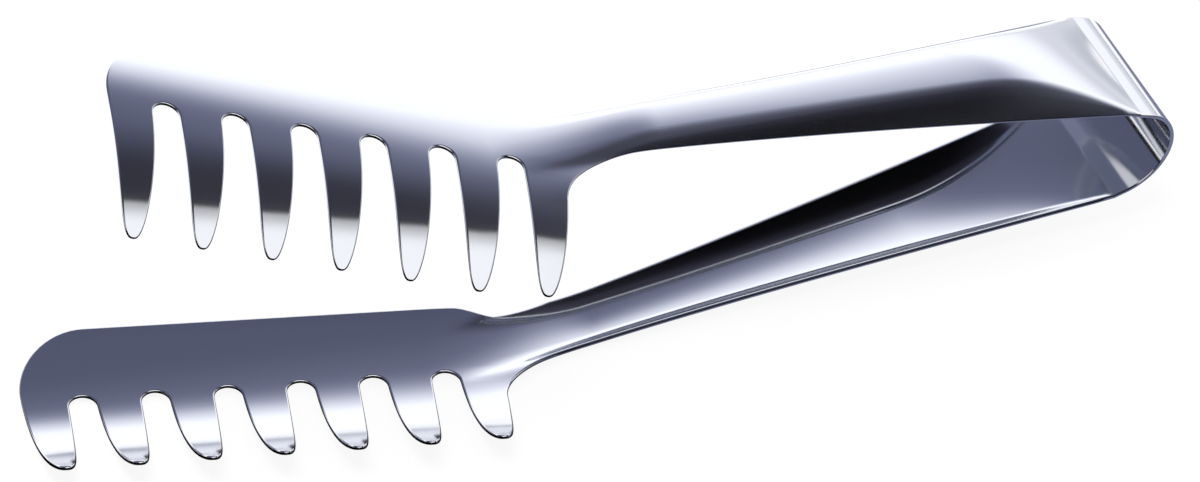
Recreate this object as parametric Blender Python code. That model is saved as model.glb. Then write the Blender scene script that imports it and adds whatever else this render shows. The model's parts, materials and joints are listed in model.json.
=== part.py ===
"""Spaghetti tongs: one strip of polished stainless steel, pierced, pressed and folded in two.

Both arms carry a comb of curled teeth on the same side and a channel-shaped handle, and the bow between
them is the spring. The sheet is cut only where it flexes, at the two places in the bow about which an
evenly bending bow turns the arms, so its nodes are the lower arm, the spring bow and the upper arm.

Sizes are in millimetres in the tool frame: X runs from the combs to the bow with zero at the bow's centre,
Y away from the tooth tips, Z up, and the arms mirror each other about Z = 0. An arm is laid out as a flat
blank in plan and then pressed: form() gives the outer face that each point of the blank moves to.
"""

import math

import bmesh
import bpy
from mathutils import Matrix, Vector

MM = 0.001

# Sheet
SHEET_THICKNESS = 0.8
SPLIT_GAP = 0.3  # open joint between two nodes of the strip

# Teeth
TOOTH_COUNT = 7
TOOTH_PITCH = 12.6
TOOTH_ROOT_WIDTH = 7.75
TOOTH_LENGTH = 24.8  # in plan, from the bottom of a slot to the tip
TOOTH_TAPER = 1.5  # power of the length by which a tooth narrows
TOOTH_BLUNTNESS = 0.375  # power that rounds the tip
LAST_TOOTH_SHORTER = 0.7  # the tooth beside the handle
END_TOOTH_EXTRA = 0.25  # the outermost tooth is this much wider on its free side

# Comb
BACK_WIDTH = 14.45  # plain back of the comb, from the slots to its far edge, at the outer corner
BACK_TAPER = 0.011  # the back narrows by this much of its length toward the neck
CORNER_LENGTH = 12.5  # rounded outer corner of the back, along the comb
CORNER_WIDTH = 13.6  # and across it
COMB_YAW = 19.75  # degrees that the comb swings away from the handle, seen from above
COMB_RISE = 8.62  # degrees that the comb climbs away from the middle plane
CROWN_RADIUS = 48.7  # cross section of the back
CROWN_SLOPE = 1.7  # degrees of slope at the bottom of the slots
CURL_START = 5.2  # distance past the slots' bottom where the teeth start to curl
CURL_RADIUS = 40.0

# Neck
COMB_ROOT_X = -115.5  # where the last tooth's flank would meet the bottom line of the slots
COMB_ROOT_Y = -5.45
COMB_ROOT_Z = 25.1
NECK_FILLET = 8.0  # the fillet under the neck starts this far down the last tooth
NOTCH_LENGTH = 7.0  # over this length the comb's far edge steps in to the neck
NOTCH_DEPTH = 1.65
NECK_DIP = 0.6  # the neck's far edge starts out toward a point this far inside the handle's
NECK_DIP_LENGTH = 4.0  # and this far along from the comb
NECK_BLEND_START = -13.0  # along the comb from its root, outward is negative
NECK_BLEND_LENGTH = 31.0
NECK_BLEND_EDGE = -1.0  # across the comb, from here the blend into the handle fades out
NECK_BLEND_SIDE = 11.0  # over this distance toward the tips

# Handle
NECK_X = -100.5
NECK_HALF_WIDTH = 5.8
BOW_HALF_WIDTH = 12.6
HANDLE_TAPER = 1.35
CREASE_X = 1.2  # fold line between handle and bow
CREASE_Z = 10.4
ARM_SLOPE = 7.8  # degrees between each arm's edges and the middle plane
WEB_SLOPE = 4.48  # degrees between the channel's web and the middle plane
WEB_END_X = -32.0  # here the straight web starts to run out into the crease
WEB_END_HEIGHT = 5.66  # height of the web over the edges there
WEB_RUNOUT = 2.2  # power of the run-out
WEB_LEAST_HEIGHT = 1.1
WEB_CROWN = 0.2  # share of the web's height that is a plain arch, at the bow
NECK_CROWN = 0.4  # and at the neck
WEB_LAND = 0.5  # share of the web between its folds that stays flat
FLANGE_ANGLE = 48.0
FLANGE_LEAST = 0.5
FLANGE_RADIUS = 3.0  # fold between web and flange, at the bow
NECK_FLANGE_RADIUS = 5.0  # and at the neck
HANDLE_SKIRT = 1.0  # past its edges the handle's form levels out over this distance

# Bow
BOW_STRIP = 2.2  # flat strip between the crease and the bow's arc
BOW_STRIP_SLOPE = 18.0
BOW_SPLIT = 45.0  # degrees either side of the middle plane where the bow is cut and hinged

# Rest: the tongs lie on the lower arm
REST_PITCH = 4.32
REST_ROLL = 11.77

# Mesh
PROBE = 0.05  # half of the step over which the form's slope is measured
BACK_ROW = -13.0  # a row that stops short of the neck
SECTION_ROWS = (-11.2, -10.2, -9.0, -7.6, -6.1, -4.5, -2.9, -1.3, 0.3, 1.9, 3.5, 5.1, 6.6)
TOOTH_ROW = 1.5
TIP_ROW = 1.6  # no row comes nearer to a tip than this
FILLET_ROW = 0.7  # nor to the fillet's start
TOOTH_POINTS = 20
FLANK_GAP = 0.3  # least distance from a slot's rounding to the next point of a flank
NOTCH_POINTS = 6
SLOT_POINTS = 10
CORNER_POINTS = 12
NECK_COLUMNS = 9
HANDLE_COLUMNS = 26
FOLD_POINTS = 3
LEAST_TURN = 0.4  # where the flange runs out, its stations keep the spread of this turn
LEAST_STRAIGHT = 0.8  # and of this straight width
ARC_STEP = 4.0

YAW = math.radians(COMB_YAW)
RISE = math.radians(COMB_RISE)


def smooth(t):
    t = min(1.0, max(0.0, t))
    return t * t * (3.0 - 2.0 * t)


def plan_of(along, across):
    """Blank position from the distance along the comb (outward) and across it (toward the tips)."""
    run = along * math.cos(RISE)
    return (
        COMB_ROOT_X - run * math.cos(YAW) - across * math.sin(YAW),
        COMB_ROOT_Y + run * math.sin(YAW) - across * math.cos(YAW),
    )


def comb_place(x, y):
    dx, dy = x - COMB_ROOT_X, y - COMB_ROOT_Y
    return dy * math.sin(YAW) - dx * math.cos(YAW), -dx * math.sin(YAW) - dy * math.cos(YAW)


def comb_section(across):
    """Height of the comb's outer face over the line through the slots' bottoms."""
    start = math.radians(CROWN_SLOPE)
    apex = -CROWN_RADIUS * math.sin(start)
    if across <= CURL_START:
        reach = across - apex
        return math.sqrt(max(0.0, CROWN_RADIUS**2 - reach**2)) - CROWN_RADIUS * math.cos(start)
    turn = math.asin((CURL_START - apex) / CROWN_RADIUS)
    reach = across - CURL_START + CURL_RADIUS * math.sin(turn)
    drop = math.sqrt(max(0.0, CURL_RADIUS**2 - reach**2)) - CURL_RADIUS * math.cos(turn)
    return CROWN_RADIUS * (math.cos(turn) - math.cos(start)) + drop


def comb_form(x, y):
    run, across = comb_place(x, y)
    height = comb_section(across)
    lean = height * math.sin(RISE)
    return Vector((
        x + lean * math.cos(YAW),
        y - lean * math.sin(YAW),
        COMB_ROOT_Z + run * math.tan(RISE) + height * math.cos(RISE),
    ))


def handle_share(x):
    return min(1.0, max(0.0, (x - NECK_X) / (CREASE_X - NECK_X)))


def half_width(x):
    return NECK_HALF_WIDTH + (BOW_HALF_WIDTH - NECK_HALF_WIDTH) * handle_share(x) ** HANDLE_TAPER


def web_height(x):
    gain = math.tan(math.radians(ARM_SLOPE)) - math.tan(math.radians(WEB_SLOPE))
    straight = WEB_END_HEIGHT + (x - WEB_END_X) * gain
    if x <= WEB_END_X:
        return max(WEB_LEAST_HEIGHT, straight)
    full = WEB_END_HEIGHT + (CREASE_X - WEB_END_X) * gain
    return max(0.0, straight - full * ((x - WEB_END_X) / (CREASE_X - WEB_END_X)) ** WEB_RUNOUT)


def flange(x):
    """Radius and turn of the fold, and width of the straight flange, that make up the web's height."""
    height = web_height(x)
    radius = NECK_FLANGE_RADIUS + (FLANGE_RADIUS - NECK_FLANGE_RADIUS) * handle_share(x)
    turn = (math.sqrt(FLANGE_LEAST**2 + 2 * radius * height) - FLANGE_LEAST) / radius
    turn = min(math.radians(FLANGE_ANGLE), turn)
    if turn < 1e-4:
        return radius, 0.0, FLANGE_LEAST
    rest = (height - radius * (1 - math.cos(turn))) / math.tan(turn)
    return radius, turn, max(FLANGE_LEAST, rest)


def fold_start(x):
    """Half width of the web, up to where its edges fold down into the flanges."""
    radius, turn, straight = flange(x)
    return half_width(x) - straight - radius * math.sin(turn)


def flange_drop(distance, radius, turn, straight, edge):
    fold = edge - straight - radius * math.sin(turn)
    if distance <= fold:
        return 0.0
    if distance <= edge - straight:
        return radius - math.sqrt(radius**2 - (distance - fold) ** 2)
    return radius * (1 - math.cos(turn)) + (distance - edge + straight) * math.tan(turn)


def bow_arc():
    """Centre X, outer radius and half angle of the bow's arc, which runs on from the strip."""
    slope = math.radians(BOW_STRIP_SLOPE)
    start_x = CREASE_X + BOW_STRIP * math.cos(slope)
    start_z = CREASE_Z - BOW_STRIP * math.sin(slope)
    half = math.pi / 2 - slope
    radius = start_z / math.sin(half)
    return start_x - radius * math.cos(half), radius, half


def bow_form(x, y):
    centre, radius, half = bow_arc()
    if x > centre + radius * math.cos(half):
        return Vector((x, y, math.sqrt(max(0.0, radius**2 - (x - centre) ** 2))))
    return Vector((x, y, CREASE_Z - (x - CREASE_X) * math.tan(math.radians(BOW_STRIP_SLOPE))))


def handle_form(x, y):
    if x > CREASE_X:
        return bow_form(x, y)
    edge = half_width(x)
    radius, turn, straight = flange(x)
    level = CREASE_Z + (CREASE_X - x) * math.tan(math.radians(ARM_SLOPE))
    whole = flange_drop(edge, radius, turn, straight, edge)
    if whole < 1e-6:
        return Vector((x, y, level))
    crown = NECK_CROWN + (WEB_CROWN - NECK_CROWN) * handle_share(x)
    inside, past = min(abs(y), edge), max(0.0, abs(y) - edge)
    land = WEB_LAND * fold_start(x)
    arch = edge - land
    fall = (1 - crown) * flange_drop(inside, radius, turn, straight, edge) / whole
    fall += crown * (max(0.0, inside - land) / arch) ** 2
    steepness = (1 - crown) * math.tan(turn) / whole + 2 * crown / arch
    fall += steepness * HANDLE_SKIRT * (1 - math.exp(-past / HANDLE_SKIRT))
    return Vector((x, y, level + web_height(x) * (1 - fall)))


def form(x, y):
    run, across = comb_place(x, y)
    share = smooth((-run - NECK_BLEND_START) / NECK_BLEND_LENGTH)
    share *= 1 - smooth((across - NECK_BLEND_EDGE) / NECK_BLEND_SIDE)
    if share <= 0:
        return comb_form(x, y)
    return comb_form(x, y).lerp(handle_form(x, y), share) if share < 1 else handle_form(x, y)


def form_normal(x, y):
    forward = form(x + PROBE, y) - form(x - PROBE, y)
    back = form(x, y + PROBE) - form(x, y - PROBE)
    return forward.cross(back).normalized()


def tooth_half(across, length):
    return TOOTH_ROOT_WIDTH / 2 * max(0.0, 1 - (across / length) ** TOOTH_TAPER) ** TOOTH_BLUNTNESS


def comb_end():
    return TOOTH_ROOT_WIDTH + (TOOTH_COUNT - 1) * TOOTH_PITCH + END_TOOTH_EXTRA


def far_edge(along):
    """Place across the comb of its far edge, which narrows and then steps in to the neck."""
    taper = BACK_TAPER * (comb_end() - CORNER_LENGTH - along)
    return -BACK_WIDTH + taper + NOTCH_DEPTH * smooth(1 - along / NOTCH_LENGTH)


def comb_outline():
    """Outline of the comb as (along, across), from the fillet on the last tooth to the notch."""
    root, slot = TOOTH_ROOT_WIDTH / 2, (TOOTH_PITCH - TOOTH_ROOT_WIDTH) / 2
    points = []
    for k in range(TOOTH_COUNT):
        centre = root + k * TOOTH_PITCH
        length = TOOTH_LENGTH - (LAST_TOOTH_SHORTER if k == 0 else 0.0)
        lows = [length * math.sin(math.pi / 2 * i / TOOTH_POINTS) for i in range(TOOTH_POINTS + 1)]
        start = NECK_FILLET if k == 0 else slot
        down = [start] * (k == 0) + [v for v in lows if v > start + FLANK_GAP]
        points += [(centre - tooth_half(v, length), v) for v in down]
        last = k == TOOTH_COUNT - 1
        wide = 1 + END_TOOTH_EXTRA / root * last
        up = [v for v in reversed(lows[:-1]) if last or v > slot + FLANK_GAP]
        points += [(centre + wide * tooth_half(v, length), v) for v in up]
        if not last:
            middle = centre + TOOTH_PITCH / 2
            for i in range(SLOT_POINTS + 1):
                turn = math.pi * i / SLOT_POINTS
                points.append((middle - slot * math.cos(turn), slot - slot * math.sin(turn)))
    for i in range(1, CORNER_POINTS + 1):
        turn = math.pi / 2 * i / CORNER_POINTS
        points.append((
            comb_end() - CORNER_LENGTH * (1 - math.cos(turn)),
            -BACK_WIDTH + CORNER_WIDTH * (1 - math.sin(turn)),
        ))
    steps = [NOTCH_LENGTH * (1 - i / NOTCH_POINTS) for i in range(NOTCH_POINTS + 1)]
    return points + [(along, far_edge(along)) for along in steps]


def cut_comb():
    """The comb's flat blank, cut into rows across it and columns along it."""
    bm = bmesh.new()
    outline = comb_outline()
    outline.append((0.0, outline[0][1]))
    bm.faces.new([bm.verts.new((a, v, 0.0)) for a, v in outline])
    rows = [BACK_ROW, *SECTION_ROWS]
    while rows[-1] < TOOTH_LENGTH - TIP_ROW:
        rows.append(max(rows[-1] + TOOTH_ROW, NECK_FILLET + FILLET_ROW))
    columns = [TOOTH_ROOT_WIDTH / 2 + TOOTH_PITCH * k / 2 for k in range(2 * TOOTH_COUNT - 1)]
    cuts = [((0, v, 0), (0, 1, 0)) for v in rows] + [((a, 0, 0), (1, 0, 0)) for a in columns]
    for place, normal in cuts:
        geometry = bm.verts[:] + bm.edges[:] + bm.faces[:]
        bmesh.ops.bisect_plane(bm, geom=geometry, dist=1e-5, plane_co=place, plane_no=normal)
    many = [face for face in bm.faces if len(face.verts) > 4]
    bmesh.ops.triangulate(bm, faces=many, quad_method="BEAUTY", ngon_method="BEAUTY")
    for vert in bm.verts:
        vert.co.x, vert.co.y = plan_of(vert.co.x, vert.co.y)
    return bm


def bezier(a, b, c, t):
    return tuple((1 - t) ** 2 * p + 2 * t * (1 - t) * q + t * t * r for p, q, r in zip(a, b, c))


def section_stations(x):
    """Places across the handle, from its far edge to its near edge, that follow the folds."""
    edge = half_width(x)
    radius, turn, straight = flange(x)
    turn, straight = max(turn, LEAST_TURN), max(straight, LEAST_STRAIGHT)
    inner = edge - straight
    fold = inner - radius * math.sin(turn)
    bends = [fold + radius * math.sin(turn * i / FOLD_POINTS) for i in reversed(range(FOLD_POINTS))]
    half = [edge, edge - straight / 2, inner, *bends, WEB_LAND * fold_start(x)]
    return half + [0.0] + [-y for y in reversed(half)]


def neck_columns():
    far_start = plan_of(0.0, far_edge(0.0))
    near_start = plan_of(0.0, NECK_FILLET)
    edge = half_width(NECK_X)
    far_bend = (far_start[0] + NECK_DIP_LENGTH, edge - NECK_DIP)
    near_bend = (near_start[0] + (-edge - near_start[1]) * math.tan(YAW), -edge)
    reach = NECK_FILLET - far_edge(0.0)
    comb_shares = [(v - far_edge(0.0)) / reach for v in SECTION_ROWS]
    comb_shares = [0.0, *comb_shares, 1.0]
    handle_shares = [(edge - y) / (2 * edge) for y in section_stations(NECK_X)]
    columns = []
    for i in range(NECK_COLUMNS + 1):
        t = i / NECK_COLUMNS
        far = bezier(far_start, far_bend, (NECK_X, edge), t)
        near = bezier(near_start, near_bend, (NECK_X, -edge), t)
        shares = [p + (q - p) * smooth(t) for p, q in zip(comb_shares, handle_shares)]
        columns.append([[f + (n - f) * s for f, n in zip(far, near)] for s in shares])
    return columns


def handle_columns():
    columns = []
    for i in range(1, HANDLE_COLUMNS + 1):
        x = NECK_X + (CREASE_X - NECK_X) * i / HANDLE_COLUMNS
        columns.append([(x, y) for y in section_stations(x)])
    centre, radius, half = bow_arc()
    end = math.radians(BOW_SPLIT) + split_turn()
    steps = round(math.degrees(half - end) / ARC_STEP)
    for i in range(steps + 1):
        x = centre + radius * math.cos(half + (end - half) * i / steps)
        columns.append([(x, y) for y in section_stations(CREASE_X)])
    return columns


def add_columns(bm, columns):
    verts = [[bm.verts.new((x, y, 0.0)) for x, y in column] for column in columns]
    for left, right in zip(verts, verts[1:]):
        for i in range(len(left) - 1):
            bm.faces.new((left[i], left[i + 1], right[i + 1], right[i]))


def split_turn():
    """Half of the open joint between two nodes, as an angle on the bow's arc."""
    return SPLIT_GAP / 2 / (bow_arc()[1] - SHEET_THICKNESS / 2)


def press(bm, side):
    """Turns the flat blank into the formed sheet: outer face, inner face and the cut edge between them."""
    bm.verts.index_update()
    outer, inner = [], []
    for vert in bm.verts:
        x, y = vert.co.x, vert.co.y
        place, normal = form(x, y), form_normal(x, y)
        outer.append(place)
        inner.append(place - normal * SHEET_THICKNESS)
    count = len(outer)
    faces = []
    for face in bm.faces:
        loop = [vert.index for vert in face.verts]
        if face.normal.z < 0:
            loop.reverse()
        faces.append(loop)
        faces.append([i + count for i in reversed(loop)])
    edges = {}
    for face in faces[::2]:
        for a, b in zip(face, face[1:] + face[:1]):
            edges[(a, b)] = True
    for a, b in list(edges):
        if (b, a) not in edges:
            faces.append([b, a, a + count, b + count])
    points = [Vector((p.x, p.y, p.z * side)) for p in outer + inner]
    return points, faces if side > 0 else [list(reversed(face)) for face in faces]


def arm_shape(side):
    bm = cut_comb()
    add_columns(bm, neck_columns() + handle_columns())
    bmesh.ops.remove_doubles(bm, verts=bm.verts[:], dist=1e-4)
    bmesh.ops.recalc_face_normals(bm, faces=bm.faces[:])
    bm.normal_update()
    shape = press(bm, side)
    bm.free()
    return shape


def bow_shape():
    centre, radius, _ = bow_arc()
    end = math.radians(BOW_SPLIT) - split_turn()
    steps = 2 * max(2, round(math.degrees(end) / ARC_STEP))
    points, faces = [], []
    for i in range(steps + 1):
        turn = end * (2 * i / steps - 1)
        for r in (radius, radius - SHEET_THICKNESS):
            for y in (-BOW_HALF_WIDTH, BOW_HALF_WIDTH):
                points.append(Vector((centre + r * math.cos(turn), y, r * math.sin(turn))))
    for i in range(steps):
        a, b = 4 * i, 4 * i + 4
        faces += [[a, a + 1, b + 1, b], [a + 2, b + 2, b + 3, a + 3]]
        faces += [[a, b, b + 2, a + 2], [a + 1, a + 3, b + 3, b + 1]]
    last = 4 * steps
    faces += [[0, 2, 3, 1], [last, last + 1, last + 3, last + 2]]
    return points, faces


def hinge(side):
    centre, radius, _ = bow_arc()
    middle = radius - SHEET_THICKNESS / 2
    turn = math.radians(BOW_SPLIT)
    return Vector((centre + middle * math.cos(turn), 0.0, side * middle * math.sin(turn)))


def steel(name):
    material = bpy.data.materials.new(name)
    material.use_nodes = True
    shader = material.node_tree.nodes["Principled BSDF"]
    shader.inputs["Base Color"].default_value = (0.62, 0.63, 0.66, 1.0)
    shader.inputs["Metallic"].default_value = 1.0
    shader.inputs["Roughness"].default_value = 0.12
    return material


def add_node(name, shape, origin, assembly):
    points, faces = shape
    mesh = bpy.data.meshes.new(name)
    mesh.from_pydata([(p - origin) * MM for p in points], [], faces)
    mesh.validate()
    mesh.materials.append(steel("steel_" + name))
    node = bpy.data.objects.new(name, mesh)
    bpy.context.scene.collection.objects.link(node)
    node.parent = assembly
    node.location = origin * MM
    return node


def main():
    for obj in list(bpy.data.objects):
        bpy.data.objects.remove(obj, do_unlink=True)
    bpy.context.scene.unit_settings.system = "METRIC"
    assembly = bpy.data.objects.new("spaghetti_tongs", None)
    bpy.context.scene.collection.objects.link(assembly)
    nodes = [
        add_node("lower_arm", arm_shape(-1), hinge(-1), assembly),
        add_node("spring_bow", bow_shape(), hinge(-1), assembly),
        add_node("upper_arm", arm_shape(1), hinge(1), assembly),
    ]
    pitch = Matrix.Rotation(math.radians(REST_PITCH), 4, "Y")
    roll = Matrix.Rotation(math.radians(REST_ROLL), 4, "X")
    turned = roll @ pitch
    places = [turned @ (node.location + vert.co) for node in nodes for vert in node.data.vertices]
    ends = [[pick(place[axis] for place in places) for pick in (min, max)] for axis in range(3)]
    centre = Vector((sum(ends[0]) / 2, sum(ends[1]) / 2, ends[2][0]))
    assembly.matrix_world = Matrix.Translation(-centre) @ turned
    bpy.context.view_layer.update()


main()
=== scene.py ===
"""Spaghetti tongs of polished stainless steel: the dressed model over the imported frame.

The real tongs are one strip of sheet steel. It is modelled here as that strip is made: a flat blank with seven
teeth and rounded edges is laid out, and then pressed into the curled comb, the channel handle and the bow. The
two halves of the strip meet at the crown of the bow, and each one bends with the bow's hinge on its side.
"""

import json
import math
import bmesh
import bpy
from bpy.props import EnumProperty, FloatProperty, FloatVectorProperty, IntProperty, PointerProperty
from mathutils import Matrix, Vector
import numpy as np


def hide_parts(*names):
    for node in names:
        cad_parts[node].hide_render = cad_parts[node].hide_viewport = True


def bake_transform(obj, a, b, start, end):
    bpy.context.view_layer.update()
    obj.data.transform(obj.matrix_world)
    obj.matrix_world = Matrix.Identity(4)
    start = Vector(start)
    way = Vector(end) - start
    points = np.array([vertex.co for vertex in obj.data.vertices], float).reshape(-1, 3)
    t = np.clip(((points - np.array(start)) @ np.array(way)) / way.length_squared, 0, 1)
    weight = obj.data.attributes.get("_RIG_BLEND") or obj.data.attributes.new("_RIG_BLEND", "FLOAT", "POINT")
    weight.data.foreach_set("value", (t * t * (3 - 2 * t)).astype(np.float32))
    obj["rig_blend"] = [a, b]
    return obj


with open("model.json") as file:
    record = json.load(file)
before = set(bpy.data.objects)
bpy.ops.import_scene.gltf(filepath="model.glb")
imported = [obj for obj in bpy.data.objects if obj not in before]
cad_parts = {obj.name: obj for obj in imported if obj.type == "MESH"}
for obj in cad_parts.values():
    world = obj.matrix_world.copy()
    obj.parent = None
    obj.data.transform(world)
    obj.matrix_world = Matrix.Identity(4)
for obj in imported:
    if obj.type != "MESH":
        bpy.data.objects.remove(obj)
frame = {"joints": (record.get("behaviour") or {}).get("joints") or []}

bl_info = {
    "name": "Spaghetti Tongs",
    "version": (1, 0, 0),
    "blender": (4, 5, 0),
    "location": "View3D > Sidebar > Tongs",
    "description": "Builds a pair of pressed steel spaghetti tongs and the studio they lie in",
    "category": "Object",
}

ARMS = {"lower": -1, "upper": 1}

# Heights over the middle plane where the bow starts to bend and where it wholly follows its spring
BEND_START, BEND_END = 0.0097, 0.001

# Points of the blank closer than this are one point
MERGE = 2e-6

# The camera, in the tool frame that Strip describes
CAMERA_PLACE = Vector((-1.75133, -1.90417, 2.35794))
CAMERA_FORWARD = Vector((0.47848, 0.55114, -0.6836))
CAMERA_RIGHT = Vector((0.85356, -0.47467, 0.21475))
CAMERA_LENS = 604.1


def length(name, default, description):
    return FloatProperty(
        name=name, description=description, default=default, unit="LENGTH", subtype="DISTANCE", precision=5
    )


def angle(name, degrees, description):
    return FloatProperty(name=name, description=description, default=math.radians(degrees), subtype="ANGLE")


def number(name, default, description):
    return FloatProperty(name=name, description=description, default=default)


def count(name, default, description):
    return IntProperty(name=name, description=description, default=default, min=1)


def colour(name, default, description):
    return FloatVectorProperty(
        name=name, description=description, default=default, subtype="COLOR", size=3, min=0.0, max=1.0
    )


class SheetSizes(bpy.types.PropertyGroup):
    """The sheet that the tongs are pressed from"""

    thickness: length("Thickness", 0.0008, "Thickness of the sheet steel")
    edge_radius: length("Edge radius", 0.00034, "Rounding of the sheet's cut edges")
    edge_steps: count("Edge steps", 5, "Rings in a quarter turn of a rounded edge")


class CombSizes(bpy.types.PropertyGroup):
    """The comb and its teeth"""

    tooth_count: count("Teeth", 7, "Teeth of one comb")
    tooth_pitch: length("Tooth pitch", 0.0126, "Distance between the middles of two teeth")
    tooth_width: length("Tooth width", 0.00775, "Width of a tooth at its root")
    tooth_length: length("Tooth length", 0.0248, "Length in plan from the bottom of a slot to a tip")
    tooth_taper: number("Tooth taper", 1.5, "Power of the length by which a tooth narrows")
    tooth_bluntness: number("Tooth bluntness", 0.375, "Power that rounds the tip of a tooth")
    first_shorter: length("First tooth shorter", 0.0007, "Length that the tooth beside the handle lacks")
    last_wider: length("Last tooth wider", 0.00025, "Width that the outermost tooth gains on its free side")
    back_width: length("Back width", 0.01445, "Plain back of the comb from its far edge to the slots, at the corner")
    back_taper: number("Back taper", 0.011, "Share of its length by which the back narrows toward the neck")
    corner_length: length("Corner length", 0.0125, "Rounded outer corner of the back, along the comb")
    corner_width: length("Corner width", 0.0136, "Rounded outer corner of the back, across the comb")
    comb_yaw: angle("Yaw", 19.75, "Swing of the comb away from the handle, seen from above")
    comb_rise: angle("Rise", 8.62, "Climb of the comb away from the middle plane")
    crown_radius: length("Crown radius", 0.0487, "Radius of the crowned back")
    crown_slope: angle("Crown slope", 1.7, "Slope of the comb at the bottom of the slots")
    curl_start: length("Curl start", 0.0052, "Distance past the bottom of the slots where the teeth start to curl")
    curl_radius: length("Curl radius", 0.040, "Radius of the curled teeth")
    tooth_columns: count("Tooth columns", 8, "Columns of faces across a tooth")
    slot_steps: count("Slot steps", 7, "Steps round a quarter of a slot's bottom")
    flank_steps: count("Flank steps", 30, "Rows of faces down a tooth")
    back_rows: count("Back rows", 16, "Rows of faces across the plain back")


class NeckSizes(bpy.types.PropertyGroup):
    """The neck between the comb and the handle"""

    root_x: length("Comb root X", -0.1155, "Where the first tooth's flank meets the line of the slots")
    root_y: length("Comb root Y", -0.00545, "The same place across the tongs")
    root_z: length("Comb root Z", 0.0251, "The same place above the middle plane")
    fillet_drop: length("Fillet drop", 0.008, "Distance down the first tooth where the neck's fillet starts")
    notch_length: length("Notch length", 0.007, "Length over which the comb's far edge steps in to the neck")
    notch_depth: length("Notch depth", 0.00165, "Depth of that step")
    dip_length: length("Dip length", 0.004, "Length along the neck of the dip that its far edge starts out into")
    dip_depth: length("Dip depth", 0.0006, "Depth of that dip inside the handle's edge")
    blend_start: length("Blend start", -0.013, "Place along the comb where it starts to turn into the handle")
    blend_length: length("Blend length", 0.031, "Length over which the comb turns into the handle")
    blend_side: length("Blend side", 0.011, "Width over which that blend fades out toward the tips")
    blend_margin: length("Blend margin", 0.001, "Distance behind the slots where that fading starts")
    neck_columns: count("Neck columns", 24, "Columns of faces along the neck")


class HandleSizes(bpy.types.PropertyGroup):
    """The channel handle and the bow"""

    neck_x: length("Neck X", -0.1005, "Where the handle starts")
    neck_half: length("Neck half width", 0.0058, "Half width of the handle there")
    bow_half: length("Bow half width", 0.0126, "Half width of the bow")
    handle_taper: number("Handle taper", 1.35, "Power by which the handle widens")
    crease_x: length("Crease X", 0.0012, "The fold line between the handle and the bow")
    crease_z: length("Crease Z", 0.0104, "Height of that line over the middle plane")
    arm_slope: angle("Arm slope", 7.8, "Slope of the arm's edges to the middle plane")
    web_slope: angle("Web slope", 4.48, "Slope of the channel's web to the middle plane")
    web_end_x: length("Web end X", -0.032, "Where the straight web starts to run out into the crease")
    web_end_height: length("Web end height", 0.00566, "Height of the web over the edges there")
    web_runout: number("Web run-out", 2.2, "Power of the run-out")
    web_crown: number("Web crown", 0.35, "Share of the web's height that is a plain arch, at the bow")
    neck_crown: number("Neck crown", 0.5, "The same share at the neck")
    web_least: length("Least web height", 0.0011, "Height of the web over the edges at the neck")
    web_ease: length("Web ease", 0.0012, "Softness of the web's change from that least height to its slope")
    flange_angle: angle("Flange angle", 52, "Steepest turn of the flanges")
    flange_least: length("Least flange", 0.0005, "Least width of the straight flange")
    flange_radius: length("Flange radius", 0.002, "Radius of the fold between web and flange, at the bow")
    neck_radius: length("Neck flange radius", 0.0035, "The same radius at the neck")
    skirt: length("Skirt", 0.001, "Reach past its edges over which the handle's form levels out")
    bow_strip: length("Bow strip", 0.0022, "Flat strip between the crease and the bow's arc")
    strip_slope: angle("Strip slope", 18, "Slope of that strip")
    handle_columns: count("Handle columns", 80, "Columns of faces along the handle")
    strip_columns: count("Strip columns", 4, "Columns of faces on the flat strip")
    arc_columns: count("Arc columns", 30, "Columns of faces round half the bow")
    rest_pitch: angle("Rest pitch", 4.32, "Pitch of the tongs as they lie on the lower arm")
    rest_roll: angle("Rest roll", 11.77, "Roll of the tongs as they lie on the lower arm")


class SteelLook(bpy.types.PropertyGroup):
    """The polished steel"""

    steel_colour: colour("Steel", (0.80, 0.80, 0.81), "Colour that the polished steel reflects")
    smudge_colour: colour("Smudge", (0.77, 0.772, 0.785), "Colour where handling has dulled the polish")
    polish: number("Roughness", 0.035, "Roughness of the clean polish")
    smudge_roughness: number("Smudge roughness", 0.05, "Roughness that handling adds at most")
    smudge_share: number("Smudge share", 0.6, "Share of the smudge colour in the most dulled places")
    line_roughness: number("Line roughness", 0.03, "Spread of the roughness between the polishing lines")
    line_height: length("Line height", 0.0000006, "Height of the faint polishing lines")
    wave_height: length("Wave height", 0.00004, "Height of the slow waves in the pressed face")


class StudioLook(bpy.types.PropertyGroup):
    """The studio that the polish mirrors"""

    floor_reach: length("Floor reach", 3.0, "Half the side of the table")
    floor_colour: colour("Floor", (0.93, 0.93, 0.935), "Colour of the table")
    floor_glow: number("Floor glow", 0.92, "Share of plain white in the table as the camera sees it")
    floor_drop: length("Floor drop", 0.0002, "Depth of the table under zero, to which the pressed web reaches")
    dark_colour: colour("Dark side", (0.042, 0.042, 0.062), "Dark side of the studio in front of the tongs")
    grey_colour: colour("Ceiling", (0.083, 0.095, 0.16), "Gain of the studio's grey middle over its dark side")
    white_colour: colour("White side", (1.0, 1.0, 1.0), "White side of the studio behind the tongs")
    card_colour: colour("Card", (0.98, 0.985, 1.0), "Colour of the white card in front of the raised comb")
    white_strength: number("White strength", 1.45, "Brightness of the white side in the polish")
    ceiling_height: length("Ceiling height", 0.25, "Height of the ceiling that the polish mirrors")
    ceiling_reach: length("Ceiling reach", 1.6, "Half the side of that ceiling")
    card_height: length("Card height", 0.12, "Height of the white card")
    card_reach: length("Card reach", 0.12, "Half the side of the white card")
    lamp_power: number("Lamp power", 60.0, "Power of the soft lamp in watts")


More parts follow.
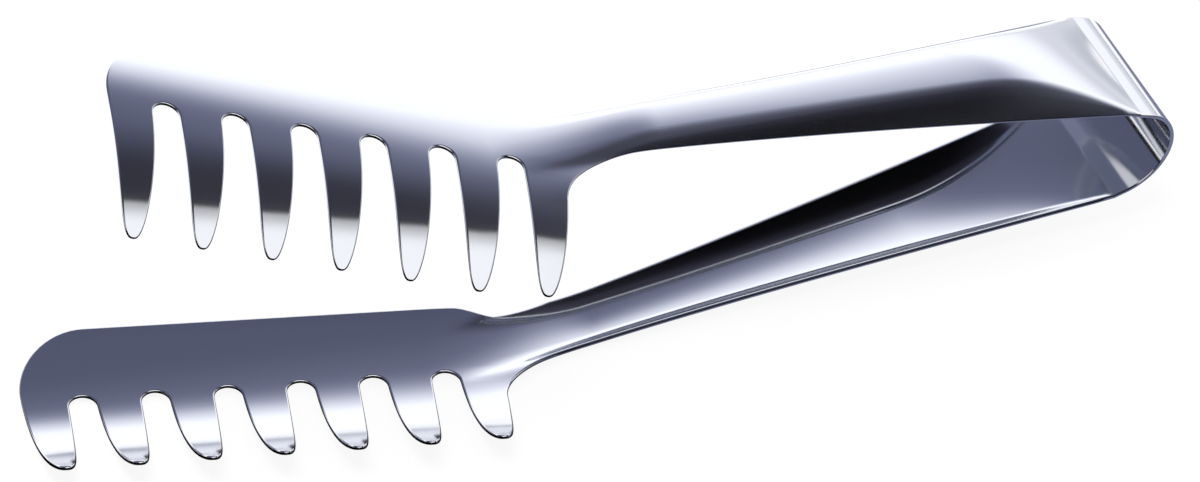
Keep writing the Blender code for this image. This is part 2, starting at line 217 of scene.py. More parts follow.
GROUPS = {
    "tongs_sheet": SheetSizes,
    "tongs_comb": CombSizes,
    "tongs_neck": NeckSizes,
    "tongs_handle": HandleSizes,
    "tongs_steel": SteelLook,
    "tongs_studio": StudioLook,
}


def smooth(t):
    t = min(1.0, max(0.0, t))
    return t * t * (3.0 - 2.0 * t)


def between(a, b, share):
    return tuple(p + (q - p) * share for p, q in zip(a, b))


class Strip:
    """One arm of the strip: its flat outline and the form that the press gives it.

    Places are in metres in the tool frame: X from the combs to the bow with zero at the bow's centre, Y away
    from the tooth tips, Z up, with the arms mirrored about Z = 0. Past the crease, a place on the blank is
    the length of the sheet along the strip in place of X.
    """

    def __init__(self, scene):
        for group in ("tongs_sheet", "tongs_comb", "tongs_neck", "tongs_handle"):
            sizes = getattr(scene, group)
            for name in type(sizes).__annotations__:
                setattr(self, name, getattr(sizes, name))
        self.slot_radius = (self.tooth_pitch - self.tooth_width) / 2
        strip_fall = self.bow_strip * math.sin(self.strip_slope)
        self.arc_half = math.pi / 2 - self.strip_slope
        self.arc_radius = (self.crease_z - strip_fall) / math.sin(self.arc_half)
        self.arc_start = self.crease_x + self.bow_strip
        strip_end = self.crease_x + self.bow_strip * math.cos(self.strip_slope)
        self.arc_centre = strip_end - self.arc_radius * math.cos(self.arc_half)
        self.crown = self.arc_start + self.arc_radius * self.arc_half

    def comb_plan(self, along, across):
        """Place on the blank from the distance along the comb (outward) and across it (toward the tips)."""
        run = along * math.cos(self.comb_rise)
        return (
            self.root_x - run * math.cos(self.comb_yaw) - across * math.sin(self.comb_yaw),
            self.root_y + run * math.sin(self.comb_yaw) - across * math.cos(self.comb_yaw),
        )

    def comb_place(self, x, y):
        dx, dy = x - self.root_x, y - self.root_y
        sine, cosine = math.sin(self.comb_yaw), math.cos(self.comb_yaw)
        return dy * sine - dx * cosine, -dx * sine - dy * cosine

    def comb_section(self, across):
        """Height of the comb's outer face over the line through the bottoms of the slots."""
        apex = -self.crown_radius * math.sin(self.crown_slope)
        base = self.crown_radius * math.cos(self.crown_slope)
        if across <= self.curl_start:
            return math.sqrt(max(0.0, self.crown_radius**2 - (across - apex) ** 2)) - base
        turn = math.asin((self.curl_start - apex) / self.crown_radius)
        reach = across - self.curl_start + self.curl_radius * math.sin(turn)
        drop = math.sqrt(max(0.0, self.curl_radius**2 - reach**2)) - self.curl_radius * math.cos(turn)
        return self.crown_radius * math.cos(turn) - base + drop

    def comb_form(self, x, y):
        run, across = self.comb_place(x, y)
        height = self.comb_section(across)
        lean = height * math.sin(self.comb_rise)
        z = self.root_z + run * math.tan(self.comb_rise) + height * math.cos(self.comb_rise)
        return Vector((x + lean * math.cos(self.comb_yaw), y - lean * math.sin(self.comb_yaw), z))

    def handle_share(self, x):
        return min(1.0, max(0.0, (x - self.neck_x) / (self.crease_x - self.neck_x)))

    def half_width(self, x):
        return self.neck_half + (self.bow_half - self.neck_half) * self.handle_share(x) ** self.handle_taper

    def web_slant(self, x):
        """Height of the web over the edges before its run-out: level at the neck, then a steady slope."""
        gain = math.tan(self.arm_slope) - math.tan(self.web_slope)
        above = self.web_end_height + (x - self.web_end_x) * gain - self.web_least
        return self.web_least + (above + math.hypot(above, self.web_ease)) / 2

    def web_height(self, x):
        if x <= self.web_end_x:
            return self.web_slant(x)
        share = (x - self.web_end_x) / (self.crease_x - self.web_end_x)
        return max(0.0, self.web_slant(x) - self.web_slant(self.crease_x) * share**self.web_runout)

    def flange(self, x):
        """Radius and turn of the fold, and width of the straight flange, that make up the web's height."""
        height, least = self.web_height(x), self.flange_least
        radius = self.neck_radius + (self.flange_radius - self.neck_radius) * self.handle_share(x)
        turn = min(self.flange_angle, (math.sqrt(least**2 + 2 * radius * height) - least) / radius)
        if turn < 1e-4:
            return radius, 0.0, least
        return radius, turn, max(least, (height - radius * (1 - math.cos(turn))) / math.tan(turn))

    def flange_drop(self, distance, radius, turn, straight, edge):
        fold = edge - straight - radius * math.sin(turn)
        if distance <= fold:
            return 0.0
        if distance <= edge - straight:
            return radius - math.sqrt(radius**2 - (distance - fold) ** 2)
        return radius * (1 - math.cos(turn)) + (distance - edge + straight) * math.tan(turn)

    def handle_form(self, x, y):
        if x > self.arc_start:
            turn = self.arc_half - (x - self.arc_start) / self.arc_radius
            return Vector((self.arc_centre + self.arc_radius * math.cos(turn), y, self.arc_radius * math.sin(turn)))
        if x > self.crease_x:
            reach = x - self.crease_x
            fall = reach * math.sin(self.strip_slope)
            return Vector((self.crease_x + reach * math.cos(self.strip_slope), y, self.crease_z - fall))
        edge, height = self.half_width(x), self.web_height(x)
        radius, turn, straight = self.flange(x)
        crown = self.neck_crown + (self.web_crown - self.neck_crown) * self.handle_share(x)
        whole = self.flange_drop(edge, radius, turn, straight, edge)
        level = self.crease_z + (self.crease_x - x) * math.tan(self.arm_slope)
        if whole < 1e-9:
            return Vector((x, y, level))
        inside, past = min(abs(y), edge), max(0.0, abs(y) - edge)
        fall = (1 - crown) * self.flange_drop(inside, radius, turn, straight, edge) / whole
        fall += crown * (inside / edge) ** 2
        steepness = (1 - crown) * math.tan(turn) / whole + 2 * crown / edge
        fall += steepness * self.skirt * (1 - math.exp(-past / self.skirt))
        return Vector((x, y, level + height * (1 - fall)))

    def form(self, x, y):
        """Place of the outer face that the press gives to a place on the blank."""
        run, across = self.comb_place(x, y)
        share = smooth((-run - self.blend_start) / self.blend_length)
        share *= 1 - smooth((across + self.blend_margin) / self.blend_side)
        if share <= 0:
            return self.comb_form(x, y)
        return self.comb_form(x, y).lerp(self.handle_form(x, y), share) if share < 1 else self.handle_form(x, y)

    def normal(self, x, y):
        reach, side = 0.0002, 0.00005
        forward = self.form(x + reach, y) - self.form(x - reach, y)
        return forward.cross(self.form(x, y + side) - self.form(x, y - side)).normalized()

    def tooth_rows(self, tooth):
        """Rows down a tooth as (half width, distance across), from the bottom of the slot to the tip."""
        tip = self.tooth_length - (self.first_shorter if tooth == 0 else 0.0)

        def half(across):
            return self.tooth_width / 2 * max(0.0, 1 - (across / tip) ** self.tooth_taper) ** self.tooth_bluntness

        rows = []
        for step in range(self.slot_steps):
            turn = math.pi / 2 * (1 - step / self.slot_steps)
            across = self.slot_radius * (1 - math.sin(turn))
            rows.append((half(across) + self.slot_radius * (1 - math.cos(turn)), across))
        start = math.asin(self.slot_radius / tip)
        turns = [start + (math.pi / 2 - start) * i / self.flank_steps for i in range(self.flank_steps + 1)]
        steps = [tip * math.sin(turn) for turn in turns]
        if tooth == 0:
            nearest = min(range(len(steps)), key=lambda i: abs(steps[i] - self.fillet_drop))
            steps[nearest] = self.fillet_drop
            self.fillet_row = self.slot_steps + nearest
        return rows + [(half(across), across) for across in steps]

    def comb_edge(self, along):
        """Far edge of the comb's back, which narrows and then steps in to the neck."""
        taper = self.back_taper * (self.comb_end - self.corner_length - along)
        return -self.back_width + taper + self.notch_depth * smooth(1 - along / self.notch_length)

    def corner(self, turn):
        """Rounded outer corner of the back, from its free side (no turn) to its far edge (a quarter turn)."""
        return (
            self.comb_end - self.corner_length * (1 - math.cos(turn)),
            -self.back_width + self.corner_width * (1 - math.sin(turn)),
        )

    def strip_stations(self):
        """Places along the strip where it has a column of points, past the neck."""
        run = self.crease_x - self.neck_x
        stations = [self.neck_x + run * i / self.handle_columns for i in range(1, self.handle_columns)]
        fold = 0.0004
        stations += [self.crease_x + step for step in (-fold, -fold / 2, 0.0, fold / 2, fold)]
        flat = self.bow_strip - fold
        stations += [self.crease_x + fold + flat * i / self.strip_columns for i in range(1, self.strip_columns + 1)]
        arc = self.crown - self.arc_start
        return stations + [self.arc_start + arc * i / self.arc_columns for i in range(1, self.arc_columns + 1)]

    def neck_edge(self, start, bend, end, steps):
        for i in range(steps + 1):
            t = i / steps
            yield between(between(start, bend, t), between(bend, end, t), t)

    def outline(self):
        """Blank outline by name, clockwise in plan from the crown along the near edge and the teeth."""
        self.rows = [self.tooth_rows(tooth) for tooth in range(self.tooth_count)]
        last = self.tooth_count - 1
        half = self.tooth_width / 2
        middles = [half + self.tooth_pitch * k for k in range(self.tooth_count)]
        self.comb_end = middles[last] + half + self.last_wider
        first_half, first_across = self.rows[0][self.fillet_row]
        stations = self.strip_stations()
        edge = self.half_width(self.neck_x)

        near_start = self.comb_plan(middles[0] - first_half, first_across)
        near_bend = (near_start[0] + (-edge - near_start[1]) * math.tan(self.comb_yaw), -edge)
        near = list(self.neck_edge(near_start, near_bend, (self.neck_x, -edge), self.neck_columns))
        near += [(x, -self.half_width(x)) for x in stations]

        far_start = self.comb_plan(0.0, self.comb_edge(0.0))
        far_bend = (far_start[0] + self.dip_length, edge - self.dip_depth)
        far = list(self.neck_edge(far_start, far_bend, (self.neck_x, edge), self.neck_columns))
        far += [(x, self.half_width(x)) for x in stations]

        places = {("near", i): place for i, place in reversed(list(enumerate(near)))}
        for k, rows in enumerate(self.rows):
            start = self.fillet_row + 1 if k == 0 else 1
            for i in range(start, len(rows) - 1):
                places["left", k, i] = self.comb_plan(middles[k] - rows[i][0], rows[i][1])
            places["tip", k] = self.comb_plan(middles[k], rows[-1][1])
            for i in range(len(rows) - 2, 0, -1):
                reach = rows[i][0]
                if k == last:
                    fillet = self.slot_radius * (1 - math.cos(math.asin(max(0.0, 1 - rows[i][1] / self.slot_radius))))
                    reach = (reach - fillet) * (1 + self.last_wider / half)
                places["right", k, i] = self.comb_plan(middles[k] + reach, rows[i][1])
            if k < last:
                places["slot", k] = self.comb_plan(middles[k] + self.tooth_pitch / 2, 0.0)
        places["right", last, 0] = self.comb_plan(self.comb_end, 0.0)

        # The free side of the back and half of its rounded corner
        plain = self.back_width - self.corner_width
        arc = math.pi / 8 * (self.corner_length + self.corner_width)
        for j in range(self.back_rows - 1, 0, -1):
            reach = (self.back_rows - j) / self.back_rows * (plain + arc)
            turn = math.pi / 4 * (reach - plain) / arc
            place = self.corner(turn) if reach > plain else (self.comb_end, -reach)
            places["side", j] = self.comb_plan(*place)
        # The other half of the corner and the far edge
        columns = self.tooth_columns * self.tooth_count
        curved = 2 * self.tooth_columns
        straight_end = middles[last - 2] + self.tooth_pitch / 2
        straight = self.comb_end - self.corner_length - straight_end
        for c in range(columns, 0, -1):
            reach = (c - columns + curved) / curved * (straight + arc)
            if c >= columns - curved and reach > straight:
                place = self.corner(math.pi / 2 - math.pi / 4 * (reach - straight) / arc)
            elif c >= columns - curved:
                place = (straight_end + reach, self.comb_edge(straight_end + reach))
            else:
                block, step = divmod(c, self.tooth_columns)
                block_start = 0.0 if block == 0 else middles[block] - self.tooth_pitch / 2
                block_end = middles[block] + self.tooth_pitch / 2
                along = block_start + (block_end - block_start) * step / self.tooth_columns
                place = (along, self.comb_edge(along))
            places["top", c] = self.comb_plan(*place)
        places.update({("far", i): place for i, place in enumerate(far)})
        return places

    def inset(self, outline):
        """Draws the outline in by the edge's rounding: each name's inner place, and the way back out."""
        names = list(outline)
        inner, outward = {}, {}
        for n, name in enumerate(names):
            here = Vector((*outline[name], 0.0))
            before = Vector((*outline[names[n - 1]], 0.0)) if n > 0 else None
            after = Vector((*outline[names[n + 1]], 0.0)) if n + 1 < len(names) else None
            if before is None:
                tangent = (after - here).normalized()
            elif after is None:
                tangent = (here - before).normalized()
            else:
                a, b = here - before, after - here
                tangent = (a.normalized() * b.length + b.normalized() * a.length).normalized()
            out = Vector((-tangent.y, tangent.x, 0.0))
            step = 0.0001
            back = here - out * step
            rise = (self.form(here.x, here.y) - self.form(back.x, back.y)) / step
            ahead, behind = here + tangent * step, here - tangent * step
            along = (self.form(ahead.x, ahead.y) - self.form(behind.x, behind.y)).normalized()
            stretch = (rise - along * rise.dot(along)).length
            move = out * (self.edge_radius / stretch)
            inner[name] = tuple((here - move).xy)
            outward[name] = move
        return inner, outward

    def section_shares(self, x):
        """Shares of the strip's width, from its far edge to its near edge, that follow the folds."""
        least_turn, least_straight = 0.4, 0.0008
        edge = self.half_width(x)
        radius, turn, straight = self.flange(min(x, self.crease_x))
        turn, straight = max(turn, least_turn), max(straight, least_straight)
        fold = edge - straight - radius * math.sin(turn)
        flange, flat = 3, 4
        bend = (self.back_rows + self.fillet_row) // 2 - flange - flat
        half = [edge - straight * i / flange for i in range(flange)]
        half += [fold + radius * math.sin(turn * (1 - i / bend)) for i in range(bend)]
        half += [fold * (1 - i / flat) for i in range(flat)]
        if (self.back_rows + self.fillet_row) % 2 == 0:
            whole = half + [0.0] + [-y for y in reversed(half)]
        else:
            half[-1] = fold / 6
            whole = half + [-y for y in reversed(half)]
        return [(edge - y) / (2 * edge) for y in whole]

    def blank_grids(self, inner):
        """The flat blank as grids of places: the strip, the comb's back and the teeth."""
        last = self.tooth_count - 1
        columns = self.tooth_columns * self.tooth_count
        # Seam between the comb and the neck
        far, near = Vector(inner["far", 0]), Vector(inner["near", 0])
        foot = Vector(inner["slot", 0])
        depth = [self.comb_place(*place)[1] for place in (far, near, foot)]
        levels = [depth[0] + (depth[2] - depth[0]) * j / self.back_rows for j in range(self.back_rows + 1)]
        levels += [self.comb_place(*inner["right", 0, i])[1] for i in range(1, self.fillet_row)]
        levels.append(depth[1])
        shares = [(level - depth[0]) / (depth[1] - depth[0]) for level in levels]
        seam = [tuple(far.lerp(near, share)) for share in shares]

        grids = []
        stations = self.strip_stations()
        strip = [seam]
        for i in range(1, self.neck_columns + len(stations) + 1):
            x = self.neck_x if i <= self.neck_columns else stations[i - self.neck_columns - 1]
            blend = smooth(i / self.neck_columns)
            column = [p + (q - p) * blend for p, q in zip(shares, self.section_shares(x))]
            strip.append([between(inner["far", i], inner["near", i], share) for share in column])
        grids.append(strip)

        feet = []
        for k, rows in enumerate(self.rows):
            tooth = []
            for i in range(len(rows)):
                if i == len(rows) - 1:
                    ends = (inner["tip", k], inner["tip", k])
                elif i == 0:
                    right = inner["slot", k] if k < last else inner["right", last, 0]
                    ends = (seam[self.back_rows] if k == 0 else inner["slot", k - 1], right)
                elif k == 0 and i <= self.fillet_row:
                    ends = (seam[self.back_rows + i], inner["right", 0, i])
                else:
                    ends = (inner["left", k, i], inner["right", k, i])
                tooth.append([between(*ends, c / self.tooth_columns) for c in range(self.tooth_columns + 1)])
            grids.append(tooth)
            feet += tooth[0][k > 0 :]

        # Back: straight columns, and a patch between four curves at the rounded corner
        top = [inner["far", 0]] + [inner["top", c] for c in range(1, columns + 1)]
        side = [top[-1]] + [inner["side", j] for j in range(1, self.back_rows)] + [feet[-1]]
        patch = columns - 2 * self.tooth_columns
        back = []
        for j in range(self.back_rows + 1):
            t = j / self.back_rows
            row = []
            for c in range(columns + 1):
                straight = Vector(top[c]).lerp(Vector(feet[c]), t)
                if c > patch:
                    s = (c - patch) / (columns - patch)
                    left = Vector(top[patch]).lerp(Vector(feet[patch]), t)
                    right = Vector(top[-1]).lerp(Vector(feet[-1]), t)
                    straight += (left.lerp(Vector(side[j]), s)) - left.lerp(right, s)
                row.append(tuple(straight))
            row[0] = seam[j]
            back.append(row)
        grids.append(back)
        return grids


def deselect():
    for other in list(bpy.context.selected_objects):
        other.select_set(False)


def lay_grid(rows, height):
    """A grid of the flat blank, with its points laid in these rows."""
    across, along = len(rows[0]) - 1, len(rows) - 1
    deselect()
    bpy.ops.mesh.primitive_grid_add(x_subdivisions=across, y_subdivisions=along, size=1.0)
    grid = bpy.context.object
    for vert in grid.data.vertices:
        column, row = round((vert.co.x + 0.5) * across), round((vert.co.y + 0.5) * along)
        vert.co = (*rows[row][column], height)
    return grid


def cut_blank(name, strip):
    """The flat blank of one arm: a closed sheet with rounded edges, open only at the crown of the bow."""
    inner, outward = strip.inset(strip.outline())
    half = strip.thickness / 2
    grids = [lay_grid(rows, half) for rows in strip.blank_grids(inner)]
    for grid in grids:
        grid.select_set(True)
    bpy.context.view_layer.objects.active = grids[0]
    bpy.ops.object.join()
    blank = bpy.context.object
    blank.name = blank.data.name = name
    way = {(round(x, 7), round(y, 7)): outward[key] for key, (x, y) in inner.items()}

    bpy.ops.object.mode_set(mode="EDIT")
    bpy.ops.mesh.select_all(action="SELECT")
    bpy.ops.mesh.remove_doubles(threshold=MERGE)
    bm = bmesh.from_edit_mesh(blank.data)
    bm.normal_update()
    for face in bm.faces:
        face.select_set(face.normal.z < 0)
    bmesh.update_edit_mesh(blank.data)
    bpy.ops.mesh.flip_normals()

    # The outline, without the end at the crown of the bow, is drawn out and down into a rounded edge
    bpy.ops.mesh.select_all(action="DESELECT")
    bpy.ops.mesh.select_mode(type="EDGE")
    bm = bmesh.from_edit_mesh(blank.data)
    bm.verts.layers.float.new("edge_turn")
    layer = bm.verts.layers.float_vector.new("outward")
    keys = list(way)
    for edge in bm.edges:
        if edge.is_boundary and any(vert.co.x < strip.crown - MERGE / 2 for vert in edge.verts):
            edge.select_set(True)
            for vert in edge.verts:
                x, y = vert.co.xy
                key = (round(x, 7), round(y, 7))
                if key not in way:
                    key = min(keys, key=lambda k: (k[0] - x) ** 2 + (k[1] - y) ** 2)
                vert[layer] = way[key]
    bmesh.update_edit_mesh(blank.data)
    for step in range(1, strip.edge_steps + 2):
        bpy.ops.mesh.extrude_region()
        bm = bmesh.from_edit_mesh(blank.data)
        layer = bm.verts.layers.float_vector["outward"]
        turn_layer = bm.verts.layers.float["edge_turn"]
        turn = math.pi / 2 * min(1.0, step / strip.edge_steps)
        before = math.pi / 2 * (step - 1) / strip.edge_steps
        for vert in bm.verts:
            if vert.select and step <= strip.edge_steps:
                vert.co += Vector(vert[layer]) * (math.sin(turn) - math.sin(before))
                vert.co.z = half - strip.edge_radius * (1 - math.cos(turn))
                vert[turn_layer] = turn
            elif vert.select:
                vert.co.z = 0.0
                vert[turn_layer] = turn
        bmesh.update_edit_mesh(blank.data)
    bpy.ops.object.mode_set(mode="OBJECT")

    mirror = blank.modifiers.new("other face", "MIRROR")
    mirror.use_axis = (False, False, True)
    mirror.use_mirror_merge = True
    mirror.merge_threshold = MERGE
    bpy.ops.object.modifier_apply(modifier=mirror.name)
    bpy.ops.object.mode_set(mode="EDIT")
    bpy.ops.mesh.select_all(action="SELECT")
    bpy.ops.mesh.normals_make_consistent(inside=False)
    bpy.ops.mesh.select_all(action="DESELECT")
    bm = bmesh.from_edit_mesh(blank.data)
    for edge in bm.edges:
        edge.select_set(edge.is_boundary)
    bmesh.update_edit_mesh(blank.data)
    bpy.ops.mesh.edge_face_add()
    bpy.ops.object.mode_set(mode="OBJECT")
    return blank


def press_blank(blank, strip, side, place):
    """Forms the flat blank into one arm, with the exact direction of the polished face at each point."""
    mesh = blank.data
    outward = [Vector(item.vector) for item in mesh.attributes["outward"].data]
    turns = [item.value for item in mesh.attributes["edge_turn"].data]
    half, step = strip.thickness / 2, 0.0001
    spin = place.to_3x3()
    directions = []
    for vert, out, turn in zip(mesh.vertices, outward, turns):
        x, y, z = vert.co
        normal = strip.normal(x, y)
        point = strip.form(x, y) + normal * (z - half)
        facing = normal * math.cos(turn) * (1 if z > 0 else -1)
        if out.length > 0:
            ahead = Vector((out.y, -out.x)).normalized() * step
            along = strip.form(x + ahead.x, y + ahead.y) - strip.form(x - ahead.x, y - ahead.y)
            facing += normal.cross(along).normalized() * math.sin(turn)
        point.z *= side
        facing.z *= side
        vert.co = place @ point
        directions.append(spin @ facing.normalized())
    if side < 0:
        bpy.ops.object.mode_set(mode="EDIT")
        bpy.ops.mesh.select_all(action="SELECT")
        bpy.ops.mesh.flip_normals()
        bpy.ops.object.mode_set(mode="OBJECT")
    mesh.attributes.remove(mesh.attributes["outward"])
    mesh.attributes.remove(mesh.attributes["edge_turn"])
    mesh.shade_smooth()
    mesh.normals_split_custom_set_from_vertices(directions)


def rest_place(strip):
    """Turn and place of the tool frame as the tongs lie, from the middle between the two hinges."""
    hinges = [Vector(joint["pos_m"]) for joint in frame["joints"]]
    middle = (hinges[0] + hinges[1]) / 2
    turned = Matrix.Rotation(strip.rest_roll, 4, "X") @ Matrix.Rotation(strip.rest_pitch, 4, "Y")
    radius = strip.arc_radius - strip.thickness / 2
    reach = Vector((strip.arc_centre + radius * math.cos(math.pi / 4), 0.0, 0.0))
    return Matrix.Translation(middle - turned @ reach) @ turned


class Socket:
    """A socket of a node tree that takes part in Python arithmetic."""

    def __init__(self, tree, socket):
        self.tree, self.socket = tree, socket

    def maths(self, operation, *values):
        return self.tree.add("ShaderNodeMath", {"operation": operation}, *values)

    def __add__(self, other):
        return self.maths("ADD", self, other)

    def __radd__(self, other):
        return self.maths("ADD", other, self)

    def __sub__(self, other):
        return self.maths("SUBTRACT", self, other)

    def __rsub__(self, other):
        return self.maths("SUBTRACT", other, self)

    def __mul__(self, other):
        return self.maths("MULTIPLY", self, other)

    def __rmul__(self, other):
        return self.maths("MULTIPLY", other, self)

    def rise(self, start, end):
        """Smooth step from 0 at start to 1 at end."""
        low, high, first, last = (start, end, 0.0, 1.0) if start < end else (end, start, 1.0, 0.0)
        settings = {"interpolation_type": "SMOOTHSTEP"}
        return self.tree.add("ShaderNodeMapRange", settings, self, low, high, first, last)


class NodeTree:
    """A node tree that is filled through one method."""

    def __init__(self, tree):
        self.nodes, self.links = tree.nodes, tree.links
        self.nodes.clear()

    def add(self, kind, settings=None, *values, output=0, **named):
        node = self.nodes.new(kind)
        for name, value in (settings or {}).items():
            if name == "stops":
                ramp = node.color_ramp
                while len(ramp.elements) > 1:
                    ramp.elements.remove(ramp.elements[-1])
                for i, (position, shade) in enumerate(value):
                    stop = ramp.elements[0] if i == 0 else ramp.elements.new(position)
                    stop.position, stop.color = position, (*shade, 1.0)
            else:
                setattr(node, name, value)
        inputs = [(node.inputs[i], value) for i, value in enumerate(values)]
        inputs += [(node.inputs[name.replace("_", " ")], value) for name, value in named.items()]
        for socket, value in inputs:
            if isinstance(value, Socket):
                self.links.new(value.socket, socket)
            elif value is not None:
                socket.default_value = value
        return Socket(self, node.outputs[output]) if node.outputs else None

    def axes(self, vector):
        """The three parts of a vector."""
        first = self.add("ShaderNodeSeparateXYZ", None, vector)
        return [Socket(self, output) for output in first.socket.node.outputs]


def rgba(shade):
    return (*shade, 1.0)


def polished_steel(scene):
    """Mirror-polished stainless steel with faint polishing lines, handling marks and a slightly wavy face."""
    look = scene.tongs_steel
    material = bpy.data.materials.new("polished_steel")
    material.use_nodes = True
    tree = NodeTree(material.node_tree)
    place = tree.add("ShaderNodeTexCoord", output="Object")
    along_handle = tree.add(
        "ShaderNodeMapping", None, place, (0.0, 0.0, 0.0), (0.22, 0.0714, 0.0), (60.0, 2600.0, 2600.0)
    )
    lines = tree.add("ShaderNodeTexNoise", None, along_handle, Scale=1.0, Detail=3.0, Roughness=0.6)
    marks = tree.add("ShaderNodeTexNoise", None, place, Scale=95.0, Detail=4.0, Roughness=0.55)
    smudge = marks.rise(0.52, 0.70)
    # A Mix node's own colour sockets come after those for numbers and vectors
    no_numbers = [None] * 5
    colours = rgba(look.steel_colour), rgba(look.smudge_colour)
    shade = tree.add(
        "ShaderNodeMix", {"data_type": "RGBA"}, smudge * look.smudge_share, *no_numbers, *colours, output=2
    )
    waves = tree.add("ShaderNodeTexNoise", None, place, Scale=55.0, Detail=1.0, Roughness=0.4)
    wavy = tree.add("ShaderNodeBump", None, Strength=0.5, Distance=look.wave_height, Height=waves)
    brushed = tree.add("ShaderNodeBump", None, Strength=0.3, Distance=look.line_height, Height=lines, Normal=wavy)
    roughness = look.polish + smudge * look.smudge_roughness + (lines - 0.5) * look.line_roughness
    shader = tree.add("ShaderNodeBsdfPrincipled", None, shade, Metallic=1.0, Roughness=roughness, Normal=brushed)
    tree.add("ShaderNodeOutputMaterial", None, shader)
    return material


class TONGS_OT_half(bpy.types.Operator):
    """Make one half of the strip: a comb with seven teeth, a channel handle and half of the bow"""

    bl_idname = "tongs.half"
    bl_label = "Half of the Strip"

    arm: EnumProperty(
        name="Arm",
        description="Which arm this half of the strip makes",
        items=[("lower", "Lower", "The arm that lies on the table"), ("upper", "Upper", "The raised arm")],
    )

    def execute(self, context):
        strip = Strip(context.scene)
        place = rest_place(strip)
        half = cut_blank(self.arm + "_half", strip)
        side = ARMS[self.arm]
        press_blank(half, strip, side, place)
        material = bpy.data.materials.get("polished_steel") or polished_steel(context.scene)
        half.data.materials.clear()
        half.data.materials.append(material)
        start, end = (place @ Vector((strip.arc_centre, 0.0, side * height)) for height in (BEND_START, BEND_END))
        if self.arm == "lower":
            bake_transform(half, "lower_arm", "spring_bow", start=tuple(start), end=tuple(end))
            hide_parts("lower_arm", "spring_bow")
        else:
            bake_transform(half, "spring_bow", "upper_arm", start=tuple(end), end=tuple(start))
            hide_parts("upper_arm")
        return {"FINISHED"}


# What the polish mirrors: shades from the dark side to the white one
FLOOR_SHADES = (
    (0.0, (0.0, 0.0, 0.0)),
    (0.5, (0.15, 0.165, 0.25)),
    (0.65, (0.18, 0.20, 0.29)),
    (1.0, (1.0, 1.0, 1.0)),
)
CEILING_SHADES = (
    (0.0, (0.0, 0.0, 0.0)),
    (0.25, (0.04, 0.042, 0.058)),
    (0.3125, (0.08, 0.084, 0.112)),
    (0.375, (0.16, 0.167, 0.205)),
    (0.4375, (0.28, 0.29, 0.335)),
    (0.5, (0.43, 0.44, 0.48)),
    (0.5625, (0.57, 0.58, 0.615)),
    (0.65, (0.72, 0.725, 0.75)),
    (0.85, (1.0, 1.0, 1.0)),
)
HORIZON_SHADES = (
    (0.0, (0.0, 0.0, 0.0)),
    (0.3, (0.20, 0.21, 0.26)),
    (0.6, (0.50, 0.52, 0.59)),
    (1.0, (1.0, 1.0, 1.0)),
)


def stage_plane(name, height, reach, middle=(0.0, 0.0), only_mirrored=True):
    """A level square of the studio: its node tree, the place on it in metres, and that place's X and Y."""
    bpy.ops.mesh.primitive_plane_add(size=2 * reach, location=(*middle, height))
    plane = bpy.context.object
    plane.name = name
    if only_mirrored:
        for rays in ("camera", "diffuse", "transmission", "volume_scatter", "shadow"):
            setattr(plane, "visible_" + rays, False)
    material = bpy.data.materials.new(name)
    material.use_nodes = True
    plane.data.materials.append(material)
    tree = NodeTree(material.node_tree)
    place = tree.add("ShaderNodeTexCoord", output="Object")
    x, y, _ = tree.axes(place)
    return tree, place, x, y


def lay_floor(look):
    """The pale table. The polish sees it dark in front, blue-grey under the bow and white at the back."""
    tree, _, x, y = stage_plane("floor", -look.floor_drop, look.floor_reach, only_mirrored=False)
    camera_ray = tree.add("ShaderNodeLightPath", output="Is Camera Ray")
    glossy_ray = tree.add("ShaderNodeLightPath", output="Is Glossy Ray")
    diffuse = tree.add("ShaderNodeBsdfDiffuse", None, rgba(look.floor_colour))
    glow = tree.add("ShaderNodeEmission", None, rgba(look.white_colour), 1.0)
    under_bow = x.rise(-0.04, 0.03) * y.rise(-0.09, -0.02)
    shade = tree.add("ShaderNodeValToRGB", {"stops": FLOOR_SHADES}, y.rise(0.055, 0.12) + under_bow * 0.6)
    mirrored = tree.add("ShaderNodeEmission", None, shade, look.white_strength)
    shader = tree.add("ShaderNodeMixShader", None, camera_ray * look.floor_glow, diffuse, glow)
    shader = tree.add("ShaderNodeMixShader", None, glossy_ray, shader, mirrored)
    tree.add("ShaderNodeOutputMaterial", None, shader)


def hang_ceiling(look):
    """The ceiling that the polish mirrors: a dark side in front, a grey middle and a white side at the back."""
    tree, _, x, y = stage_plane("above", look.ceiling_height, look.ceiling_reach)
    grey = tree.add("ShaderNodeEmission", None, rgba(look.grey_colour), y.rise(-0.06, 0.05))
    dark = tree.add("ShaderNodeEmission", None, rgba(look.dark_colour), y.rise(-0.75, -0.20))
    # The white side's soft edge runs aslant and bends back behind the bow
    behind_bow = x.rise(0.20, 0.34) * y.rise(0.32, 0.10)
    shade = tree.add(
        "ShaderNodeValToRGB", {"stops": CEILING_SHADES}, (x * 1.1 + y * 0.6) * 2.5 - 0.16 - behind_bow * 0.36
    )
    far_right = x.rise(0.5, 1.2)
    white = tree.add("ShaderNodeEmission", None, shade, (1.0 - far_right * 0.4) * look.white_strength)
    shader = tree.add("ShaderNodeAddShader", None, grey, dark)
    shader = tree.add("ShaderNodeAddShader", None, shader, white)
    tree.add("ShaderNodeOutputMaterial", None, shader)


